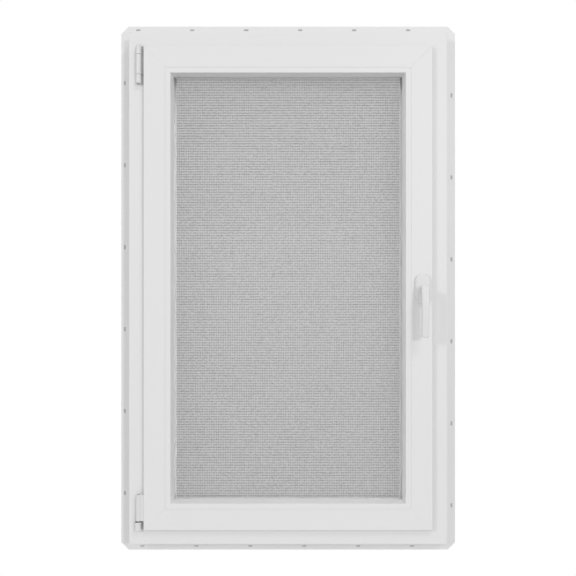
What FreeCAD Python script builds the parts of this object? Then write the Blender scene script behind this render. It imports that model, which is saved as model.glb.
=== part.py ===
import FreeCAD, Part
import math
import os

from FreeCAD import Vector

# A vinyl tilt and turn window, closed, in millimetres. X runs across the window, to the right as seen from
# the room, Z runs up and Y runs from the room to the outdoors. The origin lies on the bearing face of the
# bottom nail fin, in the middle of its row of slots.
#
# Sections are drawn with two coordinates: u is the distance inward from the outer edge of the frame and
# v is the depth along Y. One section serves all four sides, because every u counts from the same edge.

# Frame profile
frame_width = 749.3
frame_height = 1206.5
frame_depth = 82.5
frame_base = 44.5
frame_wall = 2.8
frame_web = 1.5
frame_face_radius = 2.0
frame_back_radius = 1.5
lip_height = 25.5
lip_depth = 22.4
lip_step = 4.5
lip_step_depth = 6.0

# Nail fin, clipped into a groove round the frame
fin_setback = 25.4
fin_width = 28.6
fin_thickness = 2.4
fin_corner_clip = 18.0
fin_tongue = 5.0
fin_tongue_thickness = 1.2
fin_groove_clearance = 0.1
slot_length = 11.0
slot_width = 5.0
slot_edge_distance = 8.5
slots_per_side = 6
head_slots_from_left = 12.5
head_slots_from_right = 84.8
sill_slots_from_left = 22.3
sill_slots_from_right = 75.0
hinge_side_slots_from_ends = 107.8
lock_side_slots_from_bottom = 78.2
lock_side_slots_from_top = 137.3

# Sash profile
sash_overlap = 8.0
sash_proud = 16.0
sash_face = 50.5
sash_edge_radius = 2.5
flange_radius = 1.0
seal_gap = 4.0
seal_inset = 1.5
seal_width = 4.0
stop_gap = 3.5
stop_seal_setback = 1.0
stop_seal_width = 3.0
rebate_clearance = 12.0
sash_leg_depth = 18.5
sash_leg_slope = 3.0
sash_leg_radius = 1.5
bead_catch = 6.0
hardware_groove_width = 16.0
hardware_groove_depth = 3.0
hardware_groove_offset = 13.0
sash_weld_depth = 0.6
joint_line_depth = 0.3
weld_spread = 3.0

# Glazing
glass_thickness = 4.0
glass_space = 16.0
glass_bite = 14.0
glass_clearance = 4.0
glazing_seal = 3.0
spacer_edge = 4.0
spacer_height = 7.5
bead_width = 12.5
bead_recess = 0.5
bead_gap = 0.12
bead_line_radius = 0.35
bead_radius = 1.5
bead_slope = 5.7
bead_wall = 1.5
bead_seal_setback = 0.5
bead_seal_width = 3.0
outer_seal_setback = 1.0
outer_seal_width = 3.5

# Insect screen on the outdoor side
screen_side_width = 37.5
screen_cross_width = 27.0
screen_depth = 11.0
screen_clearance = 0.5
mesh_thickness = 0.4
spline_width = 4.0
spline_depth = 4.5
spline_inset = 5.0
clip_width = 14.0
clip_reach = 12.0
clip_thickness = 2.0
clip_height_share = 0.3

# Handle
handle_backset = 24.2
handle_drop = 1.0
rose_width = 35.0
rose_height = 72.0
rose_thickness = 11.0
rose_bevel = 2.5
collar_radius = 11.5
collar_height = 3.0
neck_radius = 7.0
neck_clearance = 0.2
neck_seat = 6.0
lever_reach = 48.0
lever_bow = 4.0
lever_thickness = 12.5
lever_width = 17.0
lever_length = 112.5
lever_rise = 7.2
lever_round = 3.4
lever_back_bevel = 1.2

# Hinges
hinge_inset = 12.2
barrel_radius = 6.0
pin_radius = 3.0
pin_clearance = 0.1
pin_end = 1.5
plate_thickness = 4.0
plate_gap = 0.3
plate_inset = 3.0
knuckle_gap = 1.0
top_hinge_rise = 1.5
top_knuckle = 20.0
middle_knuckle = 46.0
lower_knuckle = 20.0
leaf_thickness = 3.0
pivot_radius = 6.0
pivot_overhang = 3.0
pivot_tip = 2.5
pivot_bore = 8.0
pivot_drop = 2.4
pivot_height = 21.4
pivot_gap = 3.0
corner_hinge_height = 61.0
corner_hinge_bevel = 1.5
corner_leaf_thickness = 6.0

# Drain covers on the outdoor face of the sill
drain_length = 46.0
drain_height = 12.0
drain_depth = 4.0
drain_offset = 200.0
drain_rise = 8.0

# Positions that follow from the sizes above
z_sill = fin_width - slot_edge_distance
z_head = z_sill + frame_height
z_middle = z_sill + frame_height / 2
half_width = frame_width / 2
half_height = frame_height / 2

v_frame_out = fin_setback
v_frame_in = fin_setback - frame_depth
v_lip_in = v_frame_out - lip_depth
v_screen_in = v_lip_in + lip_step_depth
v_sash_in = v_frame_in - sash_proud
v_flange_back = v_frame_in - seal_gap
v_sash_out = v_lip_in - stop_gap
v_leg_in = v_sash_out - sash_leg_depth
v_glass_out = v_leg_in - glazing_seal
v_space_out = v_glass_out - glass_thickness
v_space_in = v_space_out - glass_space
v_glass_in = v_space_in - glass_thickness
v_bead_back = v_glass_in - glazing_seal
v_bead_face = v_sash_in + bead_recess
v_catch = v_sash_in + bead_catch

u_lip = frame_base + lip_height
u_screen = u_lip - lip_step
u_sash_edge = frame_base - sash_overlap
u_sash_body = frame_base + rebate_clearance
u_bead = u_sash_edge + sash_face
u_sight = u_bead + bead_width
u_glass = u_sight - glass_bite
u_floor = u_glass - glass_clearance
u_bead_tip = u_sight + bead_slope

x_handle = half_width - u_sash_edge - handle_backset
z_handle = z_middle - handle_drop
x_hinge = -half_width + u_sash_edge - hinge_inset
v_plate = v_frame_in - plate_thickness
v_hinge = v_plate - plate_gap - barrel_radius
x_sash_edge = -half_width + u_sash_edge
z_sash_bottom = z_sill + u_sash_edge
z_sash_top = z_head - u_sash_edge

# Each side: the turn about Y that carries the sill's section there, the origin of u, and half its length.
SIDES = {
    "sill": (0, Vector(0, 0, z_sill), half_width),
    "head": (180, Vector(0, 0, z_head), half_width),
    "hinge_side": (90, Vector(-half_width, 0, z_middle), half_height),
    "lock_side": (-90, Vector(half_width, 0, z_middle), half_height),
}


def outline(corners):
    """Closed wire through (u, v, radius) corners, where a radius above zero becomes a tangent arc."""
    points = [Vector(0, v, u) for u, v, radius in corners]
    arcs = []
    for i, (u, v, radius) in enumerate(corners):
        here = points[i]
        before = (points[i - 1] - here).normalize()
        after = (points[(i + 1) % len(points)] - here).normalize()
        half = before.getAngle(after) / 2
        reach = radius / math.tan(half)
        middle = here + (before + after).normalize() * (radius / math.sin(half) - radius)
        arcs.append((here + before * reach, middle, here + after * reach, radius))
    edges = []
    for i, (start, middle, end, radius) in enumerate(arcs):
        if radius > 0:
            edges.append(Part.Arc(start, middle, end).toShape())
        edges.append(Part.LineSegment(end, arcs[(i + 1) % len(arcs)][0]).toShape())
    return Part.Wire(edges)


def section(corners, chambers=()):
    """Face of a profile, less its rectangular chambers, each given as (u0, u1, v0, v1)."""
    face = Part.Face(outline(corners))
    for chamber in chambers:
        face = face.cut(Part.Face(outline(rectangle(*chamber))))
    return face


def weld_groove(half_length, v_face, depth, hand):
    """Shallow V along the mitre of one end of a bar, where the weld bead has been cleaned off."""
    along = Vector(-hand, 0, 1).normalize()
    across = Vector(hand, 0, 1).normalize() * weld_spread * depth
    corner = Vector(hand * half_length, v_face - depth, 0)
    apex = Vector(0, 2 * depth, 0)
    profile = Part.makePolygon([corner - across, corner + across, corner + apex, corner - across])
    return Part.Face(profile).extrude(along * half_length)


def mitred_bar(face, half_length, weld=None):
    """Extrude a section along X and cut both ends at 45 degrees, so that the bars of a loop meet.

    A weld is the depth of the face that its groove runs in, and how deep the groove is.
    """
    bounds = face.BoundBox
    bar = face.copy()
    bar.translate(Vector(-half_length - abs(bounds.ZMin), 0, 0))
    bar = bar.extrude(Vector(2 * (half_length + abs(bounds.ZMin)), 0, 0))
    low, high = bounds.ZMin, bounds.ZMax
    corners = [
        Vector(low - half_length, bounds.YMin, low),
        Vector(half_length - low, bounds.YMin, low),
        Vector(half_length - high, bounds.YMin, high),
        Vector(high - half_length, bounds.YMin, high),
    ]
    prism = Part.Face(Part.makePolygon(corners + corners[:1])).extrude(Vector(0, bounds.YLength, 0))
    bar = bar.common(prism)
    if weld is not None:
        v_face, depth = weld
        for hand in (-1, 1):
            bar = bar.cut(weld_groove(half_length, v_face, depth, hand))
    return bar.Solids[0]


def to_side(shape, side):
    """Carry a shape drawn for the sill round to another side of the window."""
    turn, corner, half_length = SIDES[side]
    placed = shape.copy()
    placed.rotate(Vector(0, 0, 0), Vector(0, 1, 0), turn)
    placed.translate(corner)
    return placed


def side_bar(face, side, weld=None):
    return to_side(mitred_bar(face, SIDES[side][2], weld), side)


def ring(corners):
    """A section carried round all four sides as one closed loop."""
    face = section(corners)
    bars = [side_bar(face, side) for side in SIDES]
    return bars[0].fuse(bars[1:]).removeSplitter().Solids[0]


def box(x0, x1, y0, y1, z0, z1):
    return Part.makeBox(x1 - x0, y1 - y0, z1 - z0, Vector(x0, y0, z0))


def rectangle(u0, u1, v0, v1):
    return [(u0, v0, 0), (u1, v0, 0), (u1, v1, 0), (u0, v1, 0)]


def upright(radius, z0, z1):
    """Cylinder on the hinge axis."""
    return Part.makeCylinder(radius, z1 - z0, Vector(x_hinge, v_hinge, z0))


def frame_section():
    groove_half = fin_tongue_thickness / 2 + fin_groove_clearance
    groove_middle = fin_thickness / 2
    groove_floor = fin_tongue + fin_groove_clearance
    corners = [
        (0, v_frame_in, frame_face_radius),
        (frame_base, v_frame_in, frame_face_radius),
        (frame_base, v_lip_in, 0),
        (u_lip, v_lip_in, 0),
        (u_lip, v_screen_in, 0),
        (u_screen, v_screen_in, 0),
        (u_screen, v_frame_out, frame_back_radius),
        (0, v_frame_out, frame_back_radius),
        (0, groove_middle + groove_half, 0),
        (groove_floor, groove_middle + groove_half, 0),
        (groove_floor, groove_middle - groove_half, 0),
        (0, groove_middle - groove_half, 0),
    ]
    u0, u1 = frame_wall, frame_base - frame_wall
    v0, v1 = v_frame_in + frame_wall, v_lip_in - frame_wall
    third = (v1 - v0) / 3
    half_web = frame_web / 2
    chambers = [
        (u0, u1, v0, v0 + third - half_web),
        (u0, u1, v0 + third + half_web, v0 + 2 * third - half_web),
        (groove_floor + frame_wall, u1, v0 + 2 * third + half_web, v1),
        (groove_floor + frame_wall, u1, v_lip_in + half_web, v_frame_out - frame_wall),
        (frame_base + half_web, u_screen - frame_wall, v_lip_in + frame_wall, v_frame_out - frame_wall),
    ]
    return section(corners, chambers)


def sash_section():
    groove_top = u_sash_body + hardware_groove_depth
    groove_in = v_flange_back + hardware_groove_offset
    groove_out = groove_in + hardware_groove_width
    corners = [
        (u_sash_edge, v_sash_in, sash_edge_radius),
        (u_bead, v_sash_in, bead_line_radius),
        (u_bead, v_catch, 0),
        (u_floor, v_catch, 0),
        (u_floor, v_leg_in, 0),
        (u_sight, v_leg_in, 0),
        (u_sight - sash_leg_slope, v_sash_out, sash_leg_radius),
        (u_sash_body, v_sash_out, 0),
        (u_sash_body, groove_out, 0),
        (groove_top, groove_out, 0),
        (groove_top, groove_in, 0),
        (u_sash_body, groove_in, 0),
        (u_sash_body, v_flange_back, 0),
        (u_sash_edge, v_flange_back, flange_radius),
    ]
    u0, u1 = groove_top + frame_wall, u_floor - frame_wall
    v0, v1 = v_catch + frame_web, v_leg_in - frame_wall
    chambers = [
        (u_sash_edge + frame_wall, u1, v_sash_in + frame_wall, v_flange_back - frame_wall),
        (u0, u1, v_flange_back, v1),
        (u0, u1, v1 + frame_web, v_sash_out - frame_wall),
    ]
    return section(corners, chambers)


def bead_section():
    """Bead that slopes in from its face to the glass, with one chamber behind the slope."""
    corners = [
        (u_bead + bead_gap, v_bead_face, bead_line_radius),
        (u_sight, v_bead_face, bead_radius),
        (u_bead_tip, v_bead_back, 0),
        (u_floor, v_bead_back, 0),
        (u_floor, v_catch + bead_gap, 0),
        (u_bead + bead_gap, v_catch + bead_gap, 0),
    ]
    v_chamber = v_catch + bead_gap + bead_wall
    chambers = [(u_floor + bead_wall, u_sight - bead_wall, v_chamber, v_bead_back - bead_wall)]
    return section(corners, chambers)


def slot_cutter(x, z, upright_slot):
    """Prism through the fin for one nail slot."""
    straight = slot_length - slot_width
    depth = 3 * fin_thickness
    middle = box(-straight / 2, straight / 2, 0, depth, -slot_width / 2, slot_width / 2)
    ends = [
        Part.makeCylinder(slot_width / 2, depth, Vector(hand * straight / 2, 0, 0), Vector(0, 1, 0))
        for hand in (-1, 1)
    ]
    cutter = middle.fuse(ends)
    if upright_slot:
        cutter.rotate(Vector(0, 0, 0), Vector(0, 1, 0), 90)
    cutter.translate(Vector(x, -fin_thickness, z))
    return cutter


def slot_places(side):
    """World (x, z) of every slot on one side's fin, evenly spaced from the first to the last."""
    first, last = {
        "sill": (sill_slots_from_left - half_width, half_width - sill_slots_from_right),
        "head": (head_slots_from_left - half_width, half_width - head_slots_from_right),
        "hinge_side": (z_sill + hinge_side_slots_from_ends, z_head - hinge_side_slots_from_ends),
        "lock_side": (z_sill + lock_side_slots_from_bottom, z_head - lock_side_slots_from_top),
    }[side]
    pitch = (last - first) / (slots_per_side - 1)
    along = [first + i * pitch for i in range(slots_per_side)]
    line = fin_width - slot_edge_distance
    if side == "sill":
        return [(x, z_sill - line) for x in along]
    if side == "head":
        return [(x, z_head + line) for x in along]
    hand = -1 if side == "hinge_side" else 1
    return [(hand * (half_width + line), z) for z in along]


def nail_fin(side):
    """Fin of one side: a strip mitred and clipped at its corners, with a tongue for the frame's groove."""
    half_length = SIDES[side][2]
    outer = half_length + fin_width - fin_corner_clip
    clip = fin_width - fin_corner_clip / 2
    right = [(outer, -fin_width), (half_length + clip, -clip), (half_length, 0)]
    points = right + [(-x, u) for x, u in reversed(right)]
    corners = [Vector(x, 0, u) for x, u in points]
    strip = Part.Face(Part.makePolygon(corners + corners[:1])).extrude(Vector(0, fin_thickness, 0))
    inset = (fin_thickness - fin_tongue_thickness) / 2
    tongue = section(rectangle(0, fin_tongue, inset, inset + fin_tongue_thickness))
    fin = to_side(strip.fuse(mitred_bar(tongue, half_length)), side)
    for x, z in slot_places(side):
        fin = fin.cut(slot_cutter(x, z, side.endswith("_side")))
    return fin.Solids[0]


def pane(v0):
    inset = u_glass
    return box(
        inset - half_width, half_width - inset, v0, v0 + glass_thickness, z_sill + inset, z_head - inset
    )


def spacer():
    u0 = u_glass + spacer_edge
    return ring(rectangle(u0, u0 + spacer_height, v_space_in, v_space_out))


def seals():
    """The four seal loops: sash to frame at both faces, and the glass on both sides."""
    u_overlap = u_sash_edge + seal_inset
    u_stop = u_lip - stop_seal_setback
    u_inner = u_bead_tip - bead_seal_setback
    u_outer = u_sight - outer_seal_setback
    return {
        "seal_overlap": rectangle(u_overlap, u_overlap + seal_width, v_flange_back, v_frame_in),
        "seal_stop": rectangle(u_stop - stop_seal_width, u_stop, v_sash_out, v_lip_in),
        "seal_bead": rectangle(u_inner - bead_seal_width, u_inner, v_bead_back, v_glass_in),
        "seal_outer": rectangle(u_outer - outer_seal_width, u_outer, v_glass_out, v_leg_in),
    }


def screen_bars():
    """Four butted bars with a groove on the outdoor face for the spline that holds the mesh."""
    u0 = u_screen + screen_clearance
    x0 = half_width - u0
    x1 = x0 - screen_side_width
    z0, z1 = z_sill + u0, z_head - u0
    v0, v1 = v_screen_in, v_screen_in + screen_depth
    low, high = z0 + screen_cross_width, z1 - screen_cross_width
    groove_side = x1 + spline_inset
    bars = {
        "screen_hinge_side": box(-x0, -x1, v0, v1, z0, z1),
        "screen_lock_side": box(x1, x0, v0, v1, z0, z1),
        "screen_bottom": box(-x1, x1, v0, v1, z0, low),
        "screen_top": box(-x1, x1, v0, v1, high, z1),
    }
    v_floor = v1 - spline_depth
    inner = (groove_side, low - spline_inset, high + spline_inset)
    outer = (groove_side + spline_width, inner[1] - spline_width, inner[2] + spline_width)
    groove = box(-outer[0], outer[0], v_floor, v1, outer[1], outer[2]).cut(
        box(-inner[0], inner[0], v_floor, v1, inner[1], inner[2])
    )
    for name in bars:
        bars[name] = bars[name].cut(groove).Solids[0]
    spline = groove.cut(box(-outer[0], outer[0], v1 - mesh_thickness, v1, outer[1], outer[2]))
    mesh = box(-inner[0], inner[0], v1, v1 + mesh_thickness, inner[1], inner[2])
    bars["screen_spline"] = spline.Solids[0]
    bars["screen_mesh"] = mesh
    return bars


def screen_clips():
    """Z-shaped clips on the outdoor face, two to a side, that hold the screen on its ledge."""
    v_bar = v_screen_in + screen_depth
    v_top = v_frame_out + clip_thickness
    u_edge = u_screen + clip_thickness / 2
    points = [
        (u_screen - clip_reach, v_frame_out, 0),
        (u_screen - clip_reach, v_top, 0),
        (u_edge + clip_thickness, v_top, 0),
        (u_edge + clip_thickness, v_bar + clip_thickness, 0),
        (u_edge + clip_reach, v_bar + clip_thickness, 0),
        (u_edge + clip_reach, v_bar, 0),
        (u_edge, v_bar, 0),
        (u_edge, v_frame_out, 0),
    ]
    face = section(points)
    clips = []
    for side in ("hinge_side", "lock_side"):
        for share in (-clip_height_share, clip_height_share):
            strip = face.copy()
            strip.translate(Vector(share * frame_height - clip_width / 2, 0, 0))
            clips.append(to_side(strip.extrude(Vector(clip_width, 0, 0)), side))
    return Part.makeCompound(clips)


def handle_rose():
    """Oblong cover with a bevelled edge and a round collar, bored for the neck of the lever."""
    radius = rose_width / 2
    straight = rose_height / 2 - radius
    front = v_sash_in - rose_thickness
    left, right = Vector(-radius, 0, 0), Vector(radius, 0, 0)
    up, down = Vector(0, 0, straight), Vector(0, 0, -straight)
    loop = [
        Part.LineSegment(right + down, right + up).toShape(),
        Part.Arc(right + up, Vector(0, 0, straight + radius), left + up).toShape(),
        Part.LineSegment(left + up, left + down).toShape(),
        Part.Arc(left + down, Vector(0, 0, -straight - radius), right + down).toShape(),
    ]
    plate = Part.Face(Part.Wire(loop)).extrude(Vector(0, -rose_thickness, 0))
    front_edges = [e for e in plate.Edges if all(abs(p.Y + rose_thickness) < 1e-6 for p in e.Vertexes)]
    plate = plate.makeChamfer(rose_bevel, front_edges)
    plate.translate(Vector(x_handle, v_sash_in, z_handle))
    centre = Vector(x_handle, v_sash_in, z_handle)
    collar = Part.makeCylinder(collar_radius, rose_thickness + collar_height, centre, Vector(0, -1, 0))
    rim = [e for e in collar.Edges if all(p.Y < front - collar_height / 2 for p in e.Vertexes)]
    collar = collar.makeChamfer(collar_height / 3, [e for e in rim if e.Curve.TypeId == "Part::GeomCircle"])
    seat = Vector(x_handle, front - collar_height + neck_seat, z_handle)
    bore = Part.makeCylinder(neck_radius + neck_clearance, 2 * neck_seat, seat, Vector(0, -1, 0))
    return plate.fuse(collar).cut(bore).removeSplitter().Solids[0]


def handle_lever():
    """Grip on a round neck, rounded in front and bevelled behind, that bows gently into the room."""
    top, bottom = lever_rise, -lever_length
    waist = (top + bottom) / 2
    deep = Vector(0, lever_thickness, 0)
    fronts = [
        Vector(0, -lever_reach, top),
        Vector(0, -lever_reach - lever_bow, waist),
        Vector(0, -lever_reach, bottom),
    ]
    backs = [p + deep for p in fronts]
    loop = [
        Part.Arc(*fronts).toShape(),
        Part.LineSegment(fronts[2], backs[2]).toShape(),
        Part.Arc(*reversed(backs)).toShape(),
        Part.LineSegment(backs[0], fronts[0]).toShape(),
    ]
    grip = Part.Face(Part.Wire(loop))
    grip.translate(Vector(-lever_width / 2, 0, 0))
    grip = grip.extrude(Vector(lever_width, 0, 0))
    v_half = -lever_reach + lever_thickness / 2
    grip = grip.makeFillet(lever_round, [e for e in grip.Edges if e.BoundBox.YMin < v_half])
    grip = grip.makeChamfer(lever_back_bevel, [e for e in grip.Edges if e.BoundBox.YMin > v_half])
    start = -rose_thickness - collar_height + neck_seat - neck_clearance
    neck = Part.makeCylinder(neck_radius, start - v_half, Vector(0, start, 0), Vector(0, -1, 0))
    lever = grip.fuse(neck).removeSplitter().Solids[0]
    lever.translate(Vector(x_handle, v_sash_in, z_handle))
    return lever


def knuckle(z0, z1, foot_back):
    """Barrel segment with a flat foot down to v = foot_back, bored for the pin."""
    foot = box(x_hinge - barrel_radius, x_hinge + barrel_radius, v_hinge, foot_back, z0, z1)
    bore = upright(pin_radius + pin_clearance, z0, z1)
    return upright(barrel_radius, z0, z1).fuse(foot).cut(bore).removeSplitter().Solids[0]


def hinge_leaf(z0, z1, v0, v1, bevel=0):
    """Barrel segment with a leaf that reaches the edge of the sash, bored for the pin.

    A bevel goes round the top, apart from the edge that meets the sash.
    """
    leaf = box(x_hinge, x_sash_edge, v0, v1, z0, z1)
    body = upright(barrel_radius, z0, z1).fuse(leaf).removeSplitter()
    if bevel > 0:
        rim = [e for e in body.Edges if all(abs(p.Z - z1) < 1e-6 for p in e.Vertexes)]
        body = body.makeChamfer(bevel, [e for e in rim if e.BoundBox.XMin < x_sash_edge - plate_gap])
    return body.cut(upright(pin_radius + pin_clearance, z0, z1)).removeSplitter().Solids[0]


def hinge_plate(z0, z1):
    """Steel plate on the face of the frame, under a hinge."""
    return box(x_hinge - barrel_radius + plate_gap, x_sash_edge - plate_gap, v_plate, v_frame_in, z0, z1)


def top_hinge():
    z3 = z_sash_top + top_hinge_rise
    z2 = z3 - top_knuckle
    z1 = z2 - 2 * knuckle_gap - middle_knuckle
    z0 = z1 - lower_knuckle
    leaf_back = v_plate - plate_gap
    return {
        "top_hinge_plate": hinge_plate(z0, z3),
        "top_hinge_upper_knuckle": knuckle(z2, z3, v_plate),
        "top_hinge_lower_knuckle": knuckle(z0, z1, v_plate),
        "top_hinge_sash_knuckle": hinge_leaf(
            z1 + knuckle_gap, z2 - knuckle_gap, leaf_back - leaf_thickness, leaf_back
        ),
        "top_hinge_pin": upright(pin_radius, z0 - pin_end, z3 + pin_end),
    }


def pivot_cup(z0, z1):
    """Oblong boss on the plate under the bottom hinge, bevelled below, with the pin's axis at its right."""
    x_left = x_hinge - pivot_overhang
    left, right = Vector(x_left, v_hinge, z0), Vector(x_hinge, v_hinge, z0)
    ahead, aside = Vector(0, -pivot_radius, 0), Vector(pivot_radius, 0, 0)
    loop = [
        Part.LineSegment(left + ahead, right + ahead).toShape(),
        Part.Arc(right + ahead, right + aside, right - ahead).toShape(),
        Part.LineSegment(right - ahead, left - ahead).toShape(),
        Part.Arc(left - ahead, left - aside, left + ahead).toShape(),
    ]
    boss = Part.Face(Part.Wire(loop)).extrude(Vector(0, 0, z1 - z0))
    rim = [e for e in boss.Edges if all(abs(p.Z - z0) < 1e-6 for p in e.Vertexes)]
    boss = boss.makeChamfer(pivot_tip, rim)
    stem = box(x_left, x_hinge, v_hinge, v_plate, z0 + pivot_tip, z1)
    behind = box(x_left - pivot_radius, x_hinge + pivot_radius, v_plate, v_frame_in, z0, z1)
    return boss.fuse(stem).cut(behind).removeSplitter()


def bottom_hinge():
    z0 = z_sash_bottom - pivot_drop
    z1 = z0 + pivot_height
    z2 = z1 + pivot_gap
    z3 = z2 + corner_hinge_height
    cup = pivot_cup(z0, z1).cut(upright(pin_radius + pin_clearance, z1 - pivot_bore, z1))
    leaf_front = v_hinge - corner_leaf_thickness / 2
    leaf_back = leaf_front + corner_leaf_thickness
    return {
        "bottom_hinge_plate": hinge_plate(z0 + pivot_tip, z3 - plate_inset),
        "bottom_hinge_pivot": cup.Solids[0],
        "bottom_hinge_leaf": hinge_leaf(z2, z3, leaf_front, leaf_back, corner_hinge_bevel),
        "bottom_hinge_pin": upright(pin_radius, z1 - pivot_bore, z3 + pin_end),
    }


def drain_covers():
    """Two small hoods over the drain holes of the sill."""
    z0 = z_sill + drain_rise
    hoods = []
    for hand in (-1, 1):
        x0 = hand * drain_offset - drain_length / 2
        hood = box(x0, x0 + drain_length, v_frame_out, v_frame_out + drain_depth, z0, z0 + drain_height)
        rim = [e for e in hood.Edges if all(p.Y > v_frame_out + drain_depth / 2 for p in e.Vertexes)]
        hoods.append(hood.makeFillet(drain_depth / 3, rim))
    return Part.makeCompound(hoods)


def build():
    nodes = {}
    frame_face, sash_face_section, bead_face = frame_section(), sash_section(), bead_section()
    for side in SIDES:
        nodes["frame_" + side] = side_bar(frame_face, side, (v_frame_in, joint_line_depth))
        nodes["nail_fin_" + side] = nail_fin(side)
        nodes["sash_" + side] = side_bar(sash_face_section, side, (v_sash_in, sash_weld_depth))
        nodes["bead_" + side] = side_bar(bead_face, side, (v_bead_face, joint_line_depth))
    nodes["glass_inner"] = pane(v_glass_in)
    nodes["glass_outer"] = pane(v_space_out)
    nodes["glass_spacer"] = spacer()
    for name, corners in seals().items():
        nodes[name] = ring(corners)
    nodes.update(screen_bars())
    nodes["screen_clips"] = screen_clips()
    nodes["handle_rose"] = handle_rose()
    nodes["handle_lever"] = handle_lever()
    nodes.update(top_hinge())
    nodes.update(bottom_hinge())
    nodes["drain_covers"] = drain_covers()
    return nodes


os.makedirs("parts", exist_ok=True)
for name, shape in build().items():
    shape.exportStep("parts/" + name + ".step")
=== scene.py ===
# %% [markdown]
# A white vinyl tilt and turn window, seen straight on from the room.
#
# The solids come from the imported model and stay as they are. This script gives them their
# finishes, adds the woven insect mesh and the small screws that are too fine for the solids,
# and sets up light and camera. Everything is in metres: X to the right, Y from the room to the
# outdoors, Z up.

# %% Load the window
import math

import bmesh
import bpy
import numpy as np
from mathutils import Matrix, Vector


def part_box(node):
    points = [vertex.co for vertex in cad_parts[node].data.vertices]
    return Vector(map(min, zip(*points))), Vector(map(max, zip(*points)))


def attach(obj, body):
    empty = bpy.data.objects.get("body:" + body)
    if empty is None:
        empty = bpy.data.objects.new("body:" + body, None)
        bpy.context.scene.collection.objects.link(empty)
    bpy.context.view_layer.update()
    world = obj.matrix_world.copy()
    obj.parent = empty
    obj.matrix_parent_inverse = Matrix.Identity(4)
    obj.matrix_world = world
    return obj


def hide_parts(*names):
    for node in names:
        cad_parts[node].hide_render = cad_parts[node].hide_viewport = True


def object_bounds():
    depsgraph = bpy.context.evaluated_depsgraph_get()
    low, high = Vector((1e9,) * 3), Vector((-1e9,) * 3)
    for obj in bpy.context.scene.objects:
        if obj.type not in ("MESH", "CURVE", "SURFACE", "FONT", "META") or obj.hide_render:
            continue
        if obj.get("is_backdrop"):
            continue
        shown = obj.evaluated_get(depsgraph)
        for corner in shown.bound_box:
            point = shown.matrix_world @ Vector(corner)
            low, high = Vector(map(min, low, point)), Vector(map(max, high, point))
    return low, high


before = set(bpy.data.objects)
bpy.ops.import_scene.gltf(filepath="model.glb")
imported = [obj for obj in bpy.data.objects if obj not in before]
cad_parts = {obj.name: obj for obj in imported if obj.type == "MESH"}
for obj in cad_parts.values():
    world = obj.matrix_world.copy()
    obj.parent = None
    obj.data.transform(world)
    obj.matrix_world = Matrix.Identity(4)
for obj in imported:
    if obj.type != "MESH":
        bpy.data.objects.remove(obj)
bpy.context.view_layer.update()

scene = bpy.context.scene
MM = 0.001

# %% [markdown]
# The camera stands level with the middle of the window, 2.12 m in front of the frame's room
# face. A square picture whose side takes in 1.3555 m at that face gives the focal length: focal
# length is to sensor width as distance is to the width in view. The distance matters too: the
# nail fin lies 57 mm behind the face, and a longer lens from further off would show more of it
# round the frame. A nudge of a third of a millimetre, left and up, puts the window where the
# picture has it.

# %% Camera
frame_low, frame_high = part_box("frame_hinge_side")
window_middle = (frame_low.z + frame_high.z) / 2
room_face = frame_low.y
camera_distance = 2.12
camera_nudge = 0.3 * MM
width_in_view = 1.3555
sensor_width = 36.0

camera_data = bpy.data.cameras.new("camera")
camera_data.sensor_width = sensor_width
camera_data.lens = sensor_width * camera_distance / width_in_view
camera = bpy.data.objects.new("camera", camera_data)
camera.location = (-camera_nudge, room_face - camera_distance, window_middle + camera_nudge)
camera.rotation_euler = (math.pi / 2, 0, 0)
scene.collection.objects.link(camera)
scene.camera = camera
camera_place = tuple(round(c, 3) for c in camera.location)
print("lens:", round(camera_data.lens, 2), "camera:", camera_place)

# %% [markdown]
# Three soft lamps stand in front of the window, and a white surrounding fills the rest. The one
# just right of the camera puts the handle's shadow close on the left of the lever. The high one
# shades the bottom fin, which lies behind the face of the frame, and the left one does the same
# for the right fin. All stand above the window's middle, because the glass would mirror a low
# one as a bright square when seen from above. They are nine metres off, so that the top and
# bottom of the window get nearly the same light. One lamp on the camera's axis would have been
# simpler, but would leave no shadow beside the sash to show its depth.

# %% Lamps
lamp_distance = 9.0
window_centre = Vector((0, room_face, window_middle))


def soft_lamp(name, azimuth, elevation, size, watts):
    """A square area lamp that is aimed at the window's centre.

    It stands at two angles from there, in degrees to the right and up.
    """
    turn, rise = math.radians(azimuth), math.radians(elevation)
    level = math.cos(rise)
    towards = Vector((math.sin(turn) * level, -math.cos(turn) * level, math.sin(rise)))
    data = bpy.data.lights.new(name, "AREA")
    data.size = size
    data.energy = watts
    lamp = bpy.data.objects.new(name, data)
    lamp.location = window_centre + towards * lamp_distance
    lamp.rotation_euler = (-towards).to_track_quat("-Z", "Y").to_euler()
    scene.collection.objects.link(lamp)
    place = tuple(round(c, 2) for c in lamp.location)
    print(name, "at", place, "with", watts, "W")


soft_lamp("near_lamp", azimuth=20, elevation=10, size=0.6, watts=110)
soft_lamp("high_lamp", azimuth=28, elevation=42, size=2.5, watts=93)
soft_lamp("left_lamp", azimuth=-38, elevation=14, size=1.0, watts=113)

# %% [markdown]
# The surrounding and every finish are node trees. Wiring them by hand hides the sums among
# socket numbers, so a small class wraps one output and lets Python's own operators add the Math
# nodes: 1 - mask and 0.4 + 0.1 * noise read as they would on paper. Every other node comes from
# one method, which sets the node up and then links it.

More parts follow.
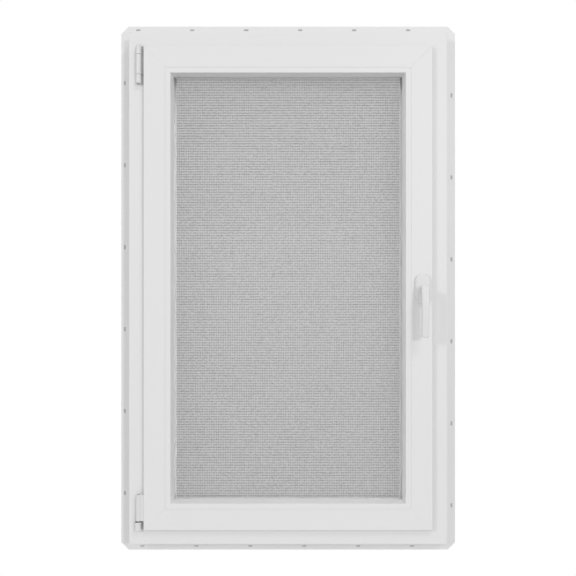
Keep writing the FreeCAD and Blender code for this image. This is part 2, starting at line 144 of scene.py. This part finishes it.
# %% Helpers for node trees
class Value:
    """One number that varies over a surface: an output socket that can be used in a sum."""

    def __init__(self, nodes, socket):
        self.nodes = nodes
        self.socket = socket

    def math(self, operation, left, right):
        return self.nodes.node("ShaderNodeMath", {"operation": operation}, {0: left, 1: right})

    def __add__(self, other):
        return self.math("ADD", self, other)

    def __radd__(self, other):
        return self.math("ADD", other, self)

    def __sub__(self, other):
        return self.math("SUBTRACT", self, other)

    def __rsub__(self, other):
        return self.math("SUBTRACT", other, self)

    def __mul__(self, other):
        return self.math("MULTIPLY", self, other)

    def __rmul__(self, other):
        return self.math("MULTIPLY", other, self)

    def __gt__(self, other):
        return self.math("GREATER_THAN", self, other)


class Nodes:
    """The node tree of a world or a material, emptied first. All its nodes are made by node()."""

    def __init__(self, owner):
        owner.use_nodes = True
        self.tree = owner.node_tree
        self.tree.nodes.clear()

    def node(self, kind, settings={}, sockets={}, output=0):
        """Add a node with its settings, give its sockets values or links, and return an output."""
        made = self.tree.nodes.new(kind)
        for key, setting in settings.items():
            setattr(made, key, setting)
        for key, given in sockets.items():
            if isinstance(given, Value):
                self.tree.links.new(given.socket, made.inputs[key])
            else:
                made.inputs[key].default_value = given
        return Value(self, made.outputs[output]) if made.outputs else None

# %% [markdown]
# The surrounding is a broad round of white paper behind the window, and a weaker fill
# everywhere else: paper all round would flood a white window with light. The paper is what the
# camera sees directly, and it lights the bars of the screen and the window's back. What shows
# through the glass is the fill, which stands for a dimmer outdoors and lets the mesh be seen.

# %% Surrounding
world = bpy.data.worlds.new("surrounding")
scene.world = world
sky = Nodes(world)
fill_strength, paper_strength = 0.58, 1.0
paper_edge = 0.45
clear_white = (1, 1, 1, 1)
fill = sky.node("ShaderNodeBackground", {}, {"Color": clear_white, "Strength": fill_strength})
paper = sky.node("ShaderNodeBackground", {}, {"Color": clear_white, "Strength": paper_strength})
direction = sky.node("ShaderNodeTexCoord", output="Generated")
outdoors = sky.node("ShaderNodeSeparateXYZ", {}, {"Vector": direction}, "Y") > paper_edge
straight = sky.node("ShaderNodeLightPath", output="Is Camera Ray")
through_glass = sky.node("ShaderNodeLightPath", output="Is Transmission Ray")
share = straight + (1 - straight) * outdoors * (1 - through_glass)
surrounding = sky.node("ShaderNodeMixShader", {}, {0: share, 1: fill, 2: paper})
sky.node("ShaderNodeOutputWorld", {}, {"Surface": surrounding})
scene.view_settings.view_transform = "Standard"
print("surrounding: fill", fill_strength, "and white paper where it is seen")

# %% [markdown]
# A finish is a material with a few helpers for what most surfaces here need: soft noise that
# can be stretched along a bar, a colour between two greys, a bump of a stated height, and the
# Principled shader.

# %% Helpers for finishes
class Finish(Nodes):
    """A material with the place on the object as its first coordinate."""

    def __init__(self, name):
        self.material = bpy.data.materials.new(name)
        super().__init__(self.material)
        self.place = self.node("ShaderNodeTexCoord", output="Object")

    def noise(self, scale, stretch=(1, 1, 1), detail=2.0):
        """Soft noise from 0 to 1, with grains that are long on an axis where stretch is small."""
        place = self.node("ShaderNodeMapping", {}, {"Vector": self.place, "Scale": stretch})
        sockets = {"Vector": place, "Scale": scale, "Detail": detail}
        return self.node("ShaderNodeTexNoise", {}, sockets, "Fac")

    def blend(self, share, first, second):
        """A colour that goes from first to second as share goes from 0 to 1."""
        colours = {0: share, 6: (*first, 1), 7: (*second, 1)}
        return self.node("ShaderNodeMix", {"data_type": "RGBA"}, colours, 2)

    def bump(self, height, depth, strength):
        """A surface normal for a height from 0 to 1 that stands depth metres high."""
        sockets = {"Height": height, "Distance": depth, "Strength": strength}
        return self.node("ShaderNodeBump", {}, sockets)

    def surface(self, **sockets):
        """The Principled shader; an underscore in a socket's name stands for a space."""
        named = {key.replace("_", " "): given for key, given in sockets.items()}
        return self.node("ShaderNodeBsdfPrincipled", {}, named)

    def done(self, shader):
        """Link the shader to the output and return the material."""
        self.node("ShaderNodeOutputMaterial", {}, {"Surface": shader})
        return self.material


def grey(level):
    """A neutral colour."""
    return (level, level, level)


def dress(material, *names):
    """Put a material on every CAD node whose name starts with one of the names."""
    dressed = [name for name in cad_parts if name.startswith(names)]
    for name in dressed:
        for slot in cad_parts[name].material_slots:
            slot.material = material
    print(material.name, "on", len(dressed), "nodes")

# %% [markdown]
# Window vinyl is extruded through a die, so it is satin, nearly white, and very faintly
# streaked along the length of the bar. A flat white would look like paper. Noise that is
# stretched a few hundred times along the bar gives the streaks, and a second, broad noise gives
# the slight unevenness of a large moulded surface. The bars run two ways, so there are two
# materials with the streaks turned.

# %% White vinyl
vinyl_white, vinyl_swing = 0.845, 0.014
streak_scale, streak_stretch = 420, 0.004
streak_height = 0.03 * MM


def vinyl(name, along):
    """Satin vinyl with die streaks along one axis: 0 for X, 2 for Z."""
    finish = Finish(name)
    stretch = [1.0, 1.0, 1.0]
    stretch[along] = streak_stretch
    streaks = finish.noise(streak_scale, tuple(stretch), 3.0)
    cloud = finish.noise(5, detail=3.0)
    tone = 0.7 * streaks + 0.3 * cloud
    colour = finish.blend(tone, grey(vinyl_white - vinyl_swing), grey(vinyl_white + vinyl_swing))
    roughness = 0.36 + 0.1 * tone
    normal = finish.bump(streaks, streak_height, 0.5)
    shader = finish.surface(Base_Color=colour, Roughness=roughness, Normal=normal)
    return finish.done(shader)


upright_vinyl = vinyl("upright_vinyl", 2)
cross_vinyl = vinyl("cross_vinyl", 0)
for part in ("frame", "nail_fin", "sash", "bead"):
    dress(upright_vinyl, part + "_hinge_side", part + "_lock_side")
    dress(cross_vinyl, part + "_sill", part + "_head")
dress(cross_vinyl, "drain_covers")

# %% [markdown]
# Handle and hinges are cast metal under a baked paint. Such paint dries with a faint skin of
# low bumps, finer than a millimetre, and shines more than the vinyl. The bumps are a fine noise
# fed to the normal. On the top hinge the paint stops at the barrel: the leaf that goes in to
# the sash is unpainted plated steel. The top face of the lower pivot, in the gap under the
# block, is a near black steel: painted shade for that gap. So the same material turns to
# steel, or to that painted shade, beyond a line on one axis.

# %% Painted castings
paint_swing = 0.012
skin_scale, skin_height = 900, 0.02 * MM


def painted_casting(name, white, roughness, mask_axis=None, mask_start=0.0, steel_or_shade_grey=0.42):
    """Baked paint with a fine skin. Where an axis is given, past mask_start on it the surface is
    steel of grey steel_or_shade_grey, which is painted shade when near black.
    """
    finish = Finish(name)
    skin = finish.noise(skin_scale, detail=1.0)
    cloud = finish.noise(30)
    colour = finish.blend(cloud, grey(white - paint_swing), grey(white + paint_swing))
    rough = roughness + 0.06 * cloud
    normal = finish.bump(skin, skin_height, 0.4)
    paint = finish.surface(Base_Color=colour, Roughness=rough, Normal=normal)
    if mask_axis is None:
        return finish.done(paint)
    along = finish.node("ShaderNodeSeparateXYZ", {}, {"Vector": finish.place}, mask_axis)
    # The mask marks the unpainted steel leaf, or on the pivot the face that carries painted shade.
    unpainted_or_shade = along > mask_start
    steel = finish.surface(Base_Color=(*grey(steel_or_shade_grey), 1), Roughness=0.5, Metallic=0.4)
    return finish.done(finish.node("ShaderNodeMixShader", {}, {0: unpainted_or_shade, 1: paint, 2: steel}))


dress(painted_casting("white_rose", 0.83, 0.16), "handle_rose")
# The lever's white is a little below the rose's: a painted shade that evens out the extra light
# its upturned upper half catches.
dress(painted_casting("white_lever_shaded", 0.815, 0.14), "handle_lever")

# The second value, near black, is painted shade on the lower pivot's top face, in the gap under
# the block.
hinge_white, pivot_gap_shade = 0.79, 0.05
bearing_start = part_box("bottom_hinge_pivot")[1].z - 0.15 * MM
leaf_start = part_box("top_hinge_upper_knuckle")[1].x + 0.2 * MM
hinge_paint = painted_casting("white_hinge", hinge_white, 0.3)
pivot_paint = painted_casting("white_pivot", hinge_white, 0.34, "Z", bearing_start, pivot_gap_shade)
knuckle_paint = painted_casting("white_sash_knuckle", hinge_white, 0.3, "X", leaf_start)
dress(hinge_paint, "top_hinge_upper", "top_hinge_lower", "bottom_hinge_leaf")
dress(pivot_paint, "bottom_hinge_pivot")
dress(knuckle_paint, "top_hinge_sash_knuckle")

# %% [markdown]
# Plates and pins are zinc-plated steel. Plating has a patchy grey look with a soft metal shine,
# so a soft noise mottles the colour, and a cellular noise varies the roughness from flake to
# flake. A mirror-like metal would only repeat the white studio.

# %% Plated steel
plated = Finish("plated_steel")
flake_sockets = {"Vector": plated.place, "Scale": 350}
flakes = plated.node("ShaderNodeTexVoronoi", {}, flake_sockets, "Distance")
patina = plated.noise(60)
plated_colour = plated.blend(patina, grey(0.44), grey(0.58))
plated_roughness = 0.4 + 0.2 * flakes
plated_shader = plated.surface(Base_Color=plated_colour, Metallic=0.4, Roughness=plated_roughness)
dress(
    plated.done(plated_shader),
    "top_hinge_plate", "top_hinge_pin", "bottom_hinge_plate", "bottom_hinge_pin",
)

# %% [markdown]
# The seals and the cord that holds the mesh are soft rubber: dull, with a fine grain and a
# little bloom. The seals beside the glass are pale, as on white profiles, and the cord is a
# darker grey.

# %% Rubber
grain_height = 0.03 * MM


def rubber(name, level):
    """Dull rubber: a fine grain in the normal and a pale bloom in the colour."""
    finish = Finish(name)
    bloom = finish.noise(45, detail=4.0)
    grain = finish.noise(1500, detail=1.0)
    colour = finish.blend(bloom, grey(level * 0.85), grey(level * 1.15))
    normal = finish.bump(grain, grain_height, 0.5)
    shader = finish.surface(Base_Color=colour, Roughness=0.7 + 0.15 * bloom, Normal=normal)
    return finish.done(shader)


dress(rubber("pale_seal", 0.55), "seal")
dress(rubber("grey_cord", 0.42), "screen_spline")

# %% [markdown]
# The spacer between the panes is a mill-finished aluminium channel with rolling marks across
# its face, and the bars of the insect screen are aluminium painted white. The spacer's marks
# are a stretched noise, as on the vinyl, but in metal. The bars' paint is thinner than that on
# the castings and shows the roll's length.

# %% Aluminium
spacer = Finish("spacer_aluminium")
rolling = spacer.noise(700, (1, 0.02, 1), 2.0)
spacer_colour = spacer.blend(rolling, grey(0.55), grey(0.7))
spacer_roughness = 0.3 + 0.15 * rolling
spacer_shader = spacer.surface(Base_Color=spacer_colour, Metallic=0.9, Roughness=spacer_roughness)
dress(spacer.done(spacer_shader), "glass_spacer")

screen_paint = Finish("white_screen_bar")
roll = screen_paint.noise(300, (1, 1, 0.01), 2.0)
peel = screen_paint.noise(700, detail=1.0)
screen_colour = screen_paint.blend(roll, grey(0.74), grey(0.78))
screen_shader = screen_paint.surface(
    Base_Color=screen_colour,
    Roughness=0.38 + 0.08 * roll,
    Normal=screen_paint.bump(peel, skin_height, 0.4),
)
dress(
    screen_paint.done(screen_shader),
    "screen_hinge_side", "screen_lock_side", "screen_bottom", "screen_top", "screen_clips",
)

# %% [markdown]
# The glazing is two clear panes. A transmitting surface bends and mirrors light as glass does,
# but lamps then reach what is behind it only as slow, noisy caustics. So rays from lamps get a
# plain transparent surface instead, and the eye gets the glass. Even clean glass has a breath
# of dust, which is a roughness near zero that varies over the pane.

# %% Glass
glass = Finish("window_glass")
dust = glass.noise(12, detail=5.0)
dust_roughness, light_let_through = 0.012, 0.98
pane = glass.surface(
    Base_Color=clear_white, Roughness=dust_roughness * dust, IOR=1.5, Transmission_Weight=1.0
)
clear = glass.node("ShaderNodeBsdfTransparent", {}, {"Color": (*grey(light_let_through), 1)})
from_lamp = glass.node("ShaderNodeLightPath", output="Is Shadow Ray")
glazing = glass.node("ShaderNodeMixShader", {}, {0: from_lamp, 1: pane, 2: clear})
dress(glass.done(glazing), "glass_inner", "glass_outer")

# %% [markdown]
# The insect mesh is a plain weave of coated glass thread, about a third of a millimetre thick
# and one and a half apart. A grey sheet would hide the view and look painted, and a real weave
# of a quarter of a million crossings is too heavy. Straight threads in two layers that touch
# have the same see-through look: the ones that run across lie on the ones that run up. The
# threads that run across bunch in fours, and each bunch wanders by a fraction of the threads'
# spacing, which is what shows as fine uneven stripes from across a room.

# %% Insect mesh
rng = np.random.default_rng(11)
mesh_low, mesh_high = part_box("screen_mesh")
thread = 0.315 * MM
across_pitch = 1.5535 * MM
up_pitch = 1.41 * MM
bunch = 4
bunch_share = 0.275
wander = 0.15 * MM
slow_sway, quick_sway, quick_share = 9, 23, 0.6
uneven = 0.14
slub_pace, slub_share = 31, 0.18
stations = 16
merge_distance = 0.0001 * MM


def square_threads(centres, along, half):
    """Square-sectioned threads, closed at the ends.

    centres is an array (thread, station, 3) of points, along is the axis that the threads run
    on, and half is an array (thread, station) of half thicknesses. Each station gets four
    corners: the centre plus or minus half on the two other axes. Neighbouring stations are
    joined by four quads, and each end is closed by one.
    """
    count, steps = half.shape
    side, depth = (2, 1) if along == 0 else (0, 1)
    sides, depths = np.array([-1, 1, 1, -1]), np.array([-1, -1, 1, 1])
    corners = np.repeat(centres[:, :, None, :], 4, axis=2)
    corners[..., side] += half[:, :, None] * sides
    corners[..., depth] += half[:, :, None] * depths
    number = np.arange(count * steps * 4).reshape(count, steps, 4)
    here, there = number[:, :-1], number[:, 1:]
    around = [here, np.roll(here, -1, 2), np.roll(there, -1, 2), there]
    walls = np.stack(around, axis=-1).reshape(-1, 4)
    ends = np.concatenate([number[:, 0, ::-1], number[:, -1]])
    quads = np.concatenate([walls, ends])
    return corners.reshape(-1, 3), quads[:, ::-1] if along == 0 else quads


def mesh_object(name, points, quads):
    """An object at the origin from an array of points and an array of four-cornered faces.

    Points that lie on each other, as at the middle of a disc, are merged, which closes the poles.
    """
    data = bpy.data.meshes.new(name)
    data.vertices.add(len(points))
    data.vertices.foreach_set("co", points.ravel())
    data.loops.add(quads.size)
    data.loops.foreach_set("vertex_index", quads.ravel())
    data.polygons.add(len(quads))
    data.polygons.foreach_set("loop_start", np.arange(0, quads.size, 4))
    data.update(calc_edges=True)
    joined = bmesh.new()
    joined.from_mesh(data)
    bmesh.ops.remove_doubles(joined, verts=joined.verts, dist=merge_distance)
    joined.to_mesh(data)
    joined.free()
    made = bpy.data.objects.new(name, data)
    scene.collection.objects.link(made)
    return made


def insect_mesh():
    """Threads across, in front of plain threads that run up.

    The height of a thread across is its row times the pitch, plus a sine of the row that draws
    each bunch together, plus two sines along it, whose phases each bunch has to itself. Its
    thickness differs from thread to thread, and by a sine along it. The sways and the slub's
    pace are in radians to a metre.
    """
    rows = int((mesh_high.z - mesh_low.z) / across_pitch)
    columns = int((mesh_high.x - mesh_low.x) / up_pitch)
    x = np.linspace(mesh_low.x, mesh_high.x, stations + 1)
    row = np.arange(rows)[:, None]
    phase = rng.uniform(0, 2 * np.pi, (3, rows, 1))
    group = np.arange(rows) // bunch
    sway = np.sin(slow_sway * x + phase[0, group])
    sway = sway + quick_share * np.sin(quick_sway * x + phase[1, group])
    drawn = bunch_share * bunch / 2 * np.sin(2 * np.pi * (row + 0.5) / bunch)
    heights = (row + 0.5 + drawn) * across_pitch
    across = np.empty((rows, stations + 1, 3))
    across[..., 0] = x
    across[..., 1] = mesh_low.y + thread / 2
    across[..., 2] = mesh_low.z + heights + wander * sway
    thick = 1 + uneven * rng.standard_normal((rows, 1)).clip(-2, 2)
    slub = thread / 2 * thick * (1 + slub_share * np.sin(slub_pace * x + phase[2]))
    up = np.empty((columns, 2, 3))
    up[..., 0] = (mesh_low.x + (np.arange(columns) + 0.5) * up_pitch)[:, None]
    up[..., 1] = mesh_low.y + 1.5 * thread
    up[..., 2] = [mesh_low.z, mesh_high.z]
    across_points, across_quads = square_threads(across, 0, slub)
    up_points, up_quads = square_threads(up, 2, np.full((columns, 2), thread / 2))
    points = np.concatenate([across_points, up_points])
    quads = np.concatenate([across_quads, up_quads + len(across_points)])
    triangles = 2 * len(quads)
    print("insect mesh:", rows, "threads across,", columns, "up,", triangles, "triangles")
    return mesh_object("insect_mesh_threads", points, quads)


mesh_threads = insect_mesh()
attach(mesh_threads, "window")
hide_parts("screen_mesh")

# %% [markdown]
# The thread is charcoal with a dull coating. Its coating is uneven from thread to thread, so a
# wave across the bunches lightens some of them. Flecks break the wave up, as the crossings do
# on real mesh, and in patches where the cloth is a little slack the upright threads show too,
# by a wave across them.

# %% Thread coating
coating = Finish("mesh_coating")
bunch_height = bunch * across_pitch
bunch_middle = mesh_low.z + bunch_height / 2
bunch_width = bunch * up_pitch
stripe_weight, fleck_weight, upright_weight = 0.9, 2.3, 3
patch_start, bare_thread = 0.3, 1.12
thread_dark, thread_pale = 0.04, 0.5
height = coating.node("ShaderNodeSeparateXYZ", {}, {"Vector": coating.place}, "Z")
across = coating.node("ShaderNodeSeparateXYZ", {}, {"Vector": coating.place}, "X")


def wave(distance, period):
    """From 0 to 1 and back over each period: half of 1 less the cosine."""
    turns = distance * (2 * math.pi / period)
    return 0.5 - 0.5 * coating.node("ShaderNodeMath", {"operation": "COSINE"}, {0: turns})


stripe = wave(height - bunch_middle, bunch_height)
upright = wave(across, bunch_width)
fleck = coating.noise(260, (0.7, 1, 1), 1.0)
patch = coating.noise(18, detail=2.0)
coating_share = (
    stripe_weight * stripe
    + fleck_weight * fleck
    + upright_weight * (upright - 0.5) * (patch - patch_start)
    - bare_thread
)
coating_colour = coating.blend(coating_share, grey(thread_dark), grey(thread_pale))
coating_shader = coating.surface(Base_Color=coating_colour, Roughness=0.55 + 0.1 * fleck)
mesh_threads.data.materials.append(coating.done(coating_shader))
print("stripes every", round(bunch_height / MM, 2), "mm on the mesh")

# %% [markdown]
# Each clip that holds the screen on the outdoor side has one pan-head screw with a cross
# recess. A primitive dome would have no recess, so the head is a height above a disc: a low
# dome, less a pit where the point is within half a slot's width of either axis and near enough
# to the middle. The disc's rim goes on down into the clip and back to the middle, so that the
# head is closed underneath.

# %% Clip screws
clips_low, clips_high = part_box("screen_clips")
clip_inset_x, clip_inset_z = 6.5 * MM, 7.0 * MM
head_radius, head_height, head_sunk = 3.2 * MM, 1.5 * MM, 0.2 * MM
recess_reach, recess_half, recess_depth = 1.9 * MM, 0.45 * MM, 0.9 * MM


def ring_quads(rings, angles):
    """The faces of rings by angles: each joins two points of one ring to two of the next."""
    number = np.arange(rings * angles).reshape(rings, angles)
    here, there = number[:-1], number[1:]
    around = [here, np.roll(here, -1, 1), np.roll(there, -1, 1), there]
    return np.stack(around, axis=-1).reshape(-1, 4)


def screw_heads(places):
    """Heads on the points in places, facing outdoors, as one array of rings by angles.

    The height at radius r is head_height times the square root of 1 - (r / head_radius) to the
    fourth, and recess_depth less inside the cross. The last two rings are the rim and the middle
    of the underside.
    """
    rings, angles = 27, 64
    r = np.append(np.linspace(0, 1, rings - 2), [1, 0])[:, None] * head_radius
    turn = np.arange(angles) * 2 * np.pi / angles
    x, z = r * np.cos(turn), r * np.sin(turn)
    arm = (np.minimum(abs(x), abs(z)) < recess_half) & (r < recess_reach)
    rise = head_height * np.sqrt(1 - (r / head_radius) ** 4) - recess_depth * arm
    rise[-2:] = -head_sunk
    head = np.stack([x, rise, z], axis=-1)
    points = (head[None] + np.array(places)[:, None, None]).reshape(-1, 3)
    starts = np.arange(len(places))[:, None, None] * rings * angles
    return points, (ring_quads(rings, angles)[None] + starts).reshape(-1, 4)


screw_places = [
    (x, clips_high.y, z)
    for x in (clips_low.x + clip_inset_x, clips_high.x - clip_inset_x)
    for z in (clips_low.z + clip_inset_z, clips_high.z - clip_inset_z)
]
clip_screws = mesh_object("clip_screws", *screw_heads(screw_places))
clip_screws.data.materials.append(plated.material)
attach(clip_screws, "window")
print("clip screws:", len(screw_places))

# %% [markdown]
# The floor is a pale disc well below the window, as in a studio where the window hangs on a
# stand. It is out of the main picture, and gives the other views something to stand over.

# %% Floor
floor_height = -0.9
floor_radius = 2.25


def floor_disc():
    """A disc as rings by angles, with the rings evenly spaced from the middle to the rim."""
    rings, angles = 3, 96
    r = np.linspace(0, 1, rings)[:, None] * floor_radius
    turn = np.arange(angles) * 2 * np.pi / angles
    x, y = r * np.cos(turn), r * np.sin(turn)
    points = np.stack([x, y, np.full((rings, angles), floor_height)], axis=-1)
    return points.reshape(-1, 3), ring_quads(rings, angles)[:, ::-1]


floor = mesh_object("floor", *floor_disc())
floor_finish = Finish("pale_floor")
floor_cloud = floor_finish.noise(3, detail=4.0)
floor_colour = floor_finish.blend(floor_cloud, grey(0.74), grey(0.78))
floor_shader = floor_finish.surface(Base_Color=floor_colour, Roughness=0.6 + 0.1 * floor_cloud)
floor.data.materials.append(floor_finish.done(floor_shader))
floor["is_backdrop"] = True
print("floor: a disc of", 2 * floor_radius, "m across at height", floor_height)

# %% [markdown]
# Through the nail fin's slots the white studio would show. A narrow grey card close behind each
# row of slots puts painted shade there instead: its grey stands for the shade behind the fin. It
# is part of the stage: it faces the room only, so the window's back stays in view, and no lamp or
# mirror image knows of it. It stops short of the fin's clipped corners, where it would show.

# %% Cards behind the nail slots
object_low, object_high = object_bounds()
slot_line = 8.5 * MM
card_half = 4.5 * MM
card_end = 25 * MM
card_gap = 2.5 * MM


def slot_cards():
    """Four upright rectangles, each a span in X by a span in Z on one plane behind the fin."""
    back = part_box("nail_fin_sill")[1].y + card_gap
    left, right = object_low.x + slot_line, object_high.x - slot_line
    low, high = object_low.z + slot_line, object_high.z - slot_line
    middles = np.array([[0, low], [0, high], [left, window_middle], [right, window_middle]])
    across = object_high.x - card_end
    up = (object_high.z - object_low.z) / 2 - card_end
    flat_half, upright_half = [across, card_half], [card_half, up]
    halves = np.array([flat_half, flat_half, upright_half, upright_half])
    signs = np.array([[-1, -1], [1, -1], [1, 1], [-1, 1]])
    flat = (middles[:, None] + halves[:, None] * signs).reshape(-1, 2)
    points = np.stack([flat[:, 0], np.full(len(flat), back), flat[:, 1]], axis=-1)
    return points, np.arange(len(points)).reshape(-1, 4)


cards = mesh_object("slot_cards", *slot_cards())
card = Finish("slot_shade_card")
# The card's grey, 0.5 to 0.6, is painted shade: the shade seen through the slots.
card_shade_colour = card.blend(card.noise(40, detail=3.0), grey(0.5), grey(0.6))
card_face = card.surface(Base_Color=card_shade_colour, Roughness=0.8)
card_behind = card.node("ShaderNodeBsdfTransparent")
from_behind = card.node("ShaderNodeNewGeometry", output="Backfacing")
card_sockets = {0: from_behind, 1: card_face, 2: card_behind}
card_shader = card.node("ShaderNodeMixShader", {}, card_sockets)
cards.data.materials.append(card.done(card_shader))
cards.visible_diffuse = cards.visible_glossy = False
cards.visible_transmission = cards.visible_shadow = False
cards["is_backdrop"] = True
print("cards:", len(cards.data.polygons), "behind the slots")
